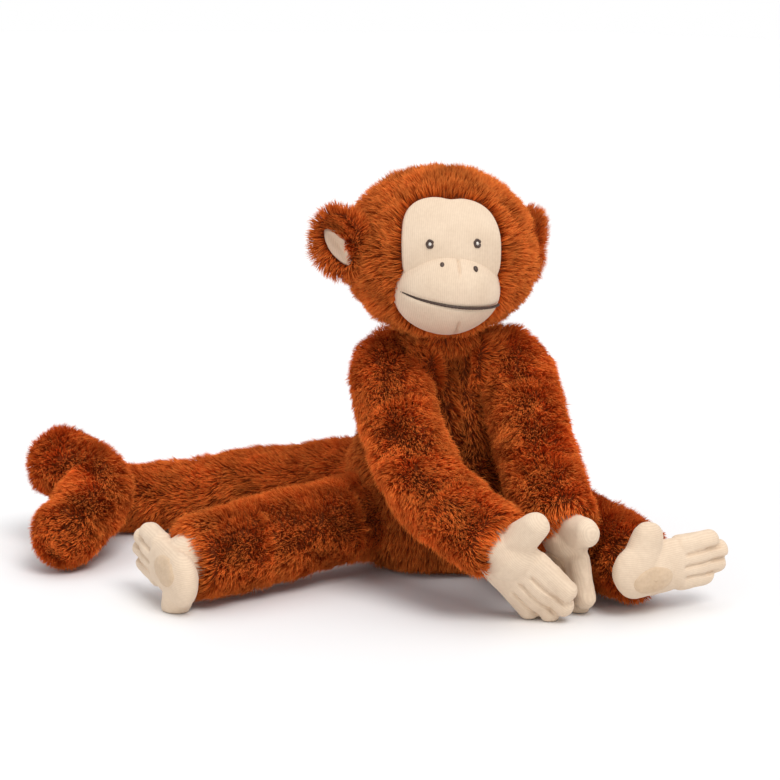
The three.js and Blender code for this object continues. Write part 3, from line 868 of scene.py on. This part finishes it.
class Ear:
    """One ear's own directions about its middle: out from the head, to its front, and up."""

    def __init__(self, side):
        ear = EARS[side]
        lean = math.radians(ear["lean"])
        self.name = f"{side}_ear"
        self.sign = ear["side"]
        self.middle = np.array(ear["middle"])
        self.out = np.array([self.sign * math.cos(lean), math.sin(lean), 0])
        self.front = np.array([self.sign * math.sin(lean), -math.cos(lean), 0])
        self.up = np.array([0, 0, 1.0])
        self.brushed = ear["brushed_forward"] * self.front

    def place(self, u, f, w):
        p = self.middle + u[:, None] * self.out + f[:, None] * self.front + w[:, None] * self.up
        return head_place(p)

    def local(self, p):
        q = head_local(p) - self.middle
        return q @ self.out, q @ self.front, q @ self.up

    def clear_of_lining(self, p):
        u, f, w = self.local(p)
        uu, ww = u - LINING_AT[0], w - LINING_AT[1]
        across = uu * math.cos(LINING_TILT) + ww * math.sin(LINING_TILT)
        length = ww * math.cos(LINING_TILT) - uu * math.sin(LINING_TILT)
        share = (np.abs(across) / 6.8) ** LINING_POWER + (np.abs(length) / 14.2) ** LINING_POWER
        return ~((f > -1) & (share < 1))

    def comb(self, p):
        u, _, w = self.local(p)
        return turned(u[:, None] * self.out + w[:, None] * self.up + self.brushed, HEAD_TURN)

    def cover(self):
        points, _, tris = ellipsoid([0, 0, 0], EAR_SIZE, 40, 60)
        if self.sign == 1:
            tris = tris[:, ::-1]  # this ear is the other's mirror image
        u, f, w = points.T
        f = np.where(f > 0, skin_height(u, w), f + rim_height(u, w)) + 0.8 * noise(points, 10, 301)
        furred(self.name, self.place(u, f, w), tris, self.comb, 300 + self.sign, self.name,
               [f"{self.name}_cover"], fill=0.5, length=11, lean=0.7, keep=self.clear_of_lining,
               density=1.2)

    def lining(self):
        """A pointed oval of velour that dips to its middle fold."""
        rings, around = 14, 60
        share = np.linspace(0.03, 1, rings)[:, None]
        c, s = np.cos(circle(around)), np.sin(circle(around))
        r = (np.abs(c / 7.6) ** LINING_POWER + np.abs(s / 14.8) ** LINING_POWER) ** (-1 / LINING_POWER)
        across, length = share * r * c, share * r * s
        u = across * math.cos(LINING_TILT) - length * math.sin(LINING_TILT) + LINING_AT[0]
        w = across * math.sin(LINING_TILT) + length * math.cos(LINING_TILT) + LINING_AT[1]
        fold = 1.8 * np.exp(-((across / 2.2) ** 2)) * (1 - share**3)
        f = skin_height(u, w) + 2.6 - fold - 2.4 * smooth(0.85, 1, share)
        flat = np.stack([q.reshape(-1) for q in (u, f, w)], -1)
        _, tris, local = open_rings(flat, rings, around)
        points, _, _ = open_rings(self.place(*flat.T), rings, around)
        behind = head_place(self.middle - 30 * self.front)
        piece = make_mesh(f"{self.name}_lining_cloth", points, tris, VELOUR, {"local": local}, behind)
        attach(piece, self.name)
        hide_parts(f"{self.name}_lining")


def ears():
    for side in EARS:
        ear = Ear(side)
        ear.cover()
        ear.lining()


# -------- hands and feet


def capsule(a, b, ra, rb, flat=1.0, rows=18, around=28):
    """A tapered round-ended rod, flattened along the third direction."""
    a, b = np.array(a, float), np.array(b, float)
    axis = unit(b - a)
    side = unit(np.cross(axis, [0, 0, 1.0] if abs(axis[2]) < 0.9 else [1.0, 0, 0]))
    up = np.cross(axis, side)
    length = np.linalg.norm(b - a)
    s = np.concatenate([
        -ra * np.cos(np.linspace(0.02, math.pi / 2, rows)),
        np.linspace(0, length, 8)[1:-1],
        length + rb * np.sin(np.linspace(0, math.pi / 2 - 0.02, rows)),
    ])
    base = ra + (rb - ra) * np.clip(s / length, 0, 1)
    past = np.where(s < 0, -s / ra, np.where(s > length, (s - length) / rb, 0))
    r = base * np.sqrt(np.maximum(1 - past**2, 0))
    angle = circle(around)
    ring = side * np.cos(angle)[:, None] + up * np.sin(angle)[:, None]
    points = (a + axis * s[:, None])[:, None] + ring[None] * r[:, None, None]
    points = points.reshape(-1, 3)
    middle = a[2] + (b[2] - a[2]) * 0.5
    points[:, 2] = middle + (points[:, 2] - middle) * flat
    return capped(points, grid_faces(len(s), around), around)


def fused(name, parts):
    """Joins closed shapes into one skin, softened as stuffed cloth is."""
    points, tris, start = [], [], 0
    for p, t in parts:
        points.append(p)
        tris.append(t + start)
        start += len(p)
    mesh = bpy.data.meshes.new(name)
    mesh.from_pydata(np.vstack(points).tolist(), [], np.vstack(tris).tolist())
    scratch = add_object(name, mesh)
    remesh = scratch.modifiers.new("join", "REMESH")
    remesh.mode = "VOXEL"
    remesh.voxel_size = 0.85
    soften = scratch.modifiers.new("soften", "SMOOTH")
    soften.iterations = 5
    soften.factor = 0.5
    made = scratch.evaluated_get(bpy.context.evaluated_depsgraph_get()).to_mesh()
    p = np.array([v.co for v in made.vertices], float)
    made.calc_loop_triangles()
    t = np.array([q.vertices for q in made.loop_triangles], int)
    bpy.data.objects.remove(scratch)
    return p, t


def groove_depth(p, grooves):
    """How far the lines of stitching between the fingers or toes pull the cloth in."""
    depth = np.zeros(len(p))
    for a, b in grooves:
        a, b = np.array(a, float), np.array(b, float)
        length = np.linalg.norm(b - a)
        line = (b - a) / length
        off = p[:, :2] - a
        along, across = off @ line, off @ [-line[1], line[0]]
        ends = smooth(-2, 3, along) * smooth(length + 2, length - 7, along)
        depth += 2.3 * np.exp(-((across / 1.3) ** 2)) * ends
    return depth


class Mitt:
    """A velour hand or foot. Its own directions run to the fingertips, to the thumb, and out of its
    flat side."""

    def __init__(self, name, at, along, thumb, shift, parts, seed):
        self.name = name
        self.at = np.array(at, float)
        self.shift = shift
        u, v = unit(along), unit(thumb)
        self.basis = np.stack([u, v, np.cross(u, v)])
        shapes, grooves = parts
        local, self.tris = fused(name, shapes)
        self.normal = vertex_normals(local, self.tris)
        wrinkle = 0.45 * noise(local, 9, seed) + 0.25 * noise(local, 4, seed + 1)
        wrinkle -= groove_depth(local, grooves)
        self.local = local + self.normal * wrinkle[:, None]
        self.seed = seed

    def place(self, p):
        return self.at + (p + self.shift) @ self.basis

    def skin(self, bodies, bend, replaces):
        points = above_floor(self.place(self.local))
        local = self.local[:, [1, 0, 2]] / 1000
        piece = make_mesh(f"{self.name}_cloth", points, self.tris, VELOUR, {"local": local})
        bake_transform(piece)
        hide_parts(*replaces)

    def skin_heights(self, flat, face):
        """The skin's height under each point of a flat shape on its upper or lower face."""
        side = self.local[self.normal[:, 2] * face > 0.2]
        tree = KDTree(len(side))
        for i, q in enumerate(side):
            tree.insert((q[0], q[1], 0), i)
        tree.balance()
        return np.array([np.mean([side[i][2] for _, i, _ in tree.find_n((a, b, 0), 12)]) for a, b in flat])

    def patch(self, middle, size, face, body, replaces):
        """The touch-fastener patch lies on the skin and follows its swell."""
        rings, around = 12, 64
        share = np.linspace(0.03, 1, rings)[:, None]
        angle = circle(around)
        u = middle[0] + share * np.cos(angle) * size[0]
        v = middle[1] + share * np.sin(angle) * size[1]
        flat = np.stack([u.ravel(), v.ravel()], -1)
        height = self.skin_heights(flat, face)
        lift = 0.9 - 1.1 * smooth(0.9, 1.0, np.repeat(share, around, 1).ravel())
        loops = 0.22 * noise(np.column_stack([flat, 0 * height]), 1.1, self.seed + 7)
        p = np.column_stack([flat, height + face * (lift + loops)])
        p, tris, local = open_rings(p, rings, around)
        p[-2, 2] = height.mean() + face * 0.9
        p[-1] = p[-around - 2:-2].mean(0)
        behind = self.place(np.array([[*middle, height.mean() - 30 * face]]))[0]
        patch = make_mesh(f"{self.name}_patch_cloth", self.place(p), tris, PATCH, {"local": local}, behind)
        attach(patch, body)
        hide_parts(replaces)


def hand_parts():
    """Wrist, palm, four fingers and a thumb, and the grooves between the fingers."""
    parts = [
        capsule((2, 0, 0), (9, 0, 0), 15, 18, 0.85),
        capsule((12, -4, 0), (34, -5, 0), 21.5, 21.5, 0.5),
    ]
    tips = [(45, -20.5), (54.5, -11.2), (56.5, -0.6), (50, 9.6)]
    for k, (u, v) in enumerate(tips):
        parts.append(capsule((24, -18 + 9.4 * k, 0), (u, v, 0), 7.6, 7.4, 1.0))
    parts.append(capsule((5, 7, 0), (4, 29.5, 0), 12.5, 9.6, 0.85))
    grooves = [((26, -13.5), (54, -16.8)), ((24, -4.2), (60, -6.2)), ((26, 5.0), (57, 4.8))]
    return parts, grooves


def foot_parts(shift):
    """Ankle, sole, four toes and a big toe, and the grooves between the toes. The ankle lies where the
    leg ends, and the rest is shifted from it."""
    x, y, z = -shift
    sole = 12
    parts = [
        capsule((x, y, z - 10), (x, y, z + 6), 19, 18, 1.0),
        capsule((-3, 0, sole), (40, -1, sole), 18.5, 17.0, 0.55),
    ]
    tips = [(49, -12.6), (58.5, -5.2), (60.5, 3.0), (53, 10.8)]
    for k, (u, v) in enumerate(tips):
        parts.append(capsule((30, -12.4 + 7.8 * k, sole), (u, v, sole), 7.2, 7.0, 1.05))
    parts.append(capsule((-2, 4, 11), (4, 21, 12), 13, 11.0, 0.85))
    grooves = [((29, -8.6), (58, -9.6)), ((27, -0.8), (66, -1.2)), ((29, 7.0), (62, 7.6))]
    return parts, grooves


# -------- arms, legs and tail


def limb_with_joints(names, bodies, points, radii, seed, sleeve, spreads, **options):
    """An arm or a leg: three furred pieces about its three joints, the last with a round end."""
    limb = Limb(points, radii, seed, 7)
    marks = limb.marks
    limb.stop = marks[3] + sleeve
    cuts = [0, (marks[1] + marks[2]) / 2, (marks[2] + marks[3]) / 2, limb.stop]
    covered = [[f"{name}_cover", f"{name}_filling"] for name in bodies[1:3]]
    pairs = list(zip(bodies[:-1], bodies[1:], strict=True))
    limb_pieces(limb, names, marks[1:4], cuts, pairs, [*covered, []], spreads, **options)


def arms():
    for index, (side, arm) in enumerate(ARMS.items()):
        shoulder, elbow, wrist = (np.array(q, float) for q in arm["points"])
        u = unit(np.array(arm["tip"]) - wrist)
        start = np.array([arm["side"] * 18, -4, 141])
        fore, hand = f"{side}_forearm", f"{side}_hand"
        limb_with_joints(
            [f"{side}_{joint}" for joint in ("shoulder", "elbow", "wrist")],
            ["torso", f"{side}_upper_arm", fore, hand],
            [start, shoulder, elbow, wrist, wrist + u * 7],
            [26, 27.5, 27.5, 24.5, 23],
            400 + 10 * index,
            arm["sleeve"],
            [(20, 22), (28, 28), (24, 6)],
            length=10,
            # The arms' fur is lightened by painted light through its raised tone.
            tone=0.22,
        )
        palm = np.array(arm["palm"], float)
        palm = unit(palm - u * palm.dot(u))
        thumb = np.cross(palm, u) * arm["side"]
        mitt = Mitt(hand, wrist, u, thumb, np.zeros(3), hand_parts(), 450 + index)
        mitt.skin((fore, hand), (wrist - u * 16, wrist + u * 4), [f"{hand}_cover", f"{hand}_filling"])
        mitt.patch((29, -3), (13, 10), arm["side"], hand, f"{side}_palm_patch")


def legs():
    for index, (side, leg) in enumerate(LEGS.items()):
        hip, knee, ankle = (np.array(q, float) for q in leg["points"])
        shin = unit(ankle - knee)
        start = np.array([leg["side"] * 20, 4, 42])
        calf, foot = f"{side}_shin", f"{side}_foot"
        limb_with_joints(
            [f"{side}_{joint}" for joint in ("hip", "knee", "ankle")],
            ["torso", f"{side}_thigh", calf, foot],
            [start, hip, knee, ankle, ankle + shin * 12],
            [27, 29.5, 30, leg["ankle"], leg["ankle"] - 1],
            500 + 10 * index,
            leg["sleeve"],
            [(18, 22), (28, 28), (22, 4)],
            length=9.5,
        )
        level = unit(np.cross([0, 0, 1.0], shin)) * leg["side"]
        toes = turned(level, leg["rise"] * leg["side"], shin)
        big_toe = np.cross(shin, toes)
        toes = turned(toes, leg["twist"])
        shift = np.array(leg["shift"], float)
        mitt = Mitt(foot, ankle, toes, big_toe, shift, foot_parts(shift), 550 + index)
        mitt.skin((calf, foot), (ankle - shin * 14, ankle + shin * 4), [f"{foot}_cover", f"{foot}_filling"])
        mitt.patch((3, -5), (15, 9.5), 1, foot, f"{side}_sole_patch")


def tail():
    points = [np.array(q, float) for q in TAIL]
    start = points[0] - unit(points[1] - points[0]) * 26
    end = points[-1] + [-9, -17, -2]
    limb = Limb([start, *points, end], [22, 24, 25, 25, 26, 26, 24.5, 22], 600, 21)
    marks = limb.marks
    names = ["tail_base", "tail_middle", "tail_curl", "tail_tip"]
    limb_pieces(
        limb,
        names,
        [marks[1], marks[2], marks[3], marks[5]],
        [0, (marks[1] + marks[2]) / 2, (marks[2] + marks[3]) / 2, marks[4], limb.length],
        [("torso", names[0]), *zip(names[:-1], names[1:], strict=True)],
        [[f"{n}_cover", f"{n}_filling"] for n in names],
        [(16, 20), (28, 28), (20, 20), (20, 20)],
        length=10,
        # The tail's fur is lightened by painted light through its raised tone.
        tone=0.1,
    )


# -------- the room


def floor():
    material, nodes, links, shader = new_material("studio_floor")
    shader.inputs["Roughness"].default_value = 0.6
    grain = nodes.new("ShaderNodeTexNoise")
    grain.inputs["Scale"].default_value = 3
    shade = ramp(nodes, [(0.3, (0.86, 0.86, 0.87)), (0.7, (0.88, 0.88, 0.89))])
    links.new(grain.outputs["Fac"], shade.inputs["Fac"])
    links.new(shade.outputs["Color"], shader.inputs["Base Color"])
    corners = np.array([[-9000, -6000, 0], [9000, -6000, 0], [9000, 30000, 0], [-9000, 30000, 0]], float)
    make_mesh("studio_floor", corners, np.array([[0, 1, 2, 3]]), material)


def surroundings():
    """The studio is white to look at, and lights the toy a little less than that."""
    world = bpy.data.worlds.new("studio")
    bpy.context.scene.world = world
    world.use_nodes = True
    nodes, links = world.node_tree.nodes, world.node_tree.links
    background = nodes["Background"]
    background.inputs["Color"].default_value = (1.0, 1.0, 1.0, 1)
    path = nodes.new("ShaderNodeLightPath")
    strength = nodes.new("ShaderNodeMapRange")
    strength.inputs["To Min"].default_value = 0.55
    strength.inputs["To Max"].default_value = 1.0
    links.new(path.outputs["Is Camera Ray"], strength.inputs["Value"])
    links.new(strength.outputs["Result"], background.inputs["Strength"])


def lamps():
    for name, come_from, strength, spread, colour in (
        ("key", (0.2, -0.55, 0.81), 1.65, 30, (1.0, 0.99, 0.97)),
        ("top", (0.1, 0.15, 1.0), 0.8, 60, (1.0, 1.0, 1.0)),
        ("fill", (-0.8, -0.5, 0.35), 0.45, 60, (0.98, 0.99, 1.0)),
    ):
        data = bpy.data.lights.new(name, "SUN")
        data.energy = strength
        data.angle = math.radians(spread)
        data.color = colour
        lamp = add_object(name, data)
        lamp.rotation_euler = (-Vector(come_from)).to_track_quat("-Z", "Y").to_euler()
    bpy.context.scene.view_settings.view_transform = "Standard"


def camera():
    """Looks from in front and a little to the monkey's right, so that the seat lies low and right of
    the picture's middle."""
    data = bpy.data.cameras.new("camera")
    data.lens = CAMERA_LENS
    data.sensor_width = 36
    data.clip_start = 0.1
    data.clip_end = 30
    view = add_object("camera", data)
    az, el = math.radians(CAMERA_AZIMUTH), math.radians(CAMERA_ELEVATION)
    way = Vector((math.sin(az) * math.cos(el), -math.cos(az) * math.cos(el), math.sin(el)))
    place = way * CAMERA_DISTANCE / 1000
    aim = Vector(CAMERA_AIM) / 1000
    view.location = place
    view.rotation_euler = (aim - place).to_track_quat("-Z", "Y").to_euler()
    bpy.context.scene.camera = view


camera()
floor()
surroundings()
lamps()
torso()
neck()
head()
face_panel()
muzzle()
face_stitching()
ears()
arms()
legs()
tail()
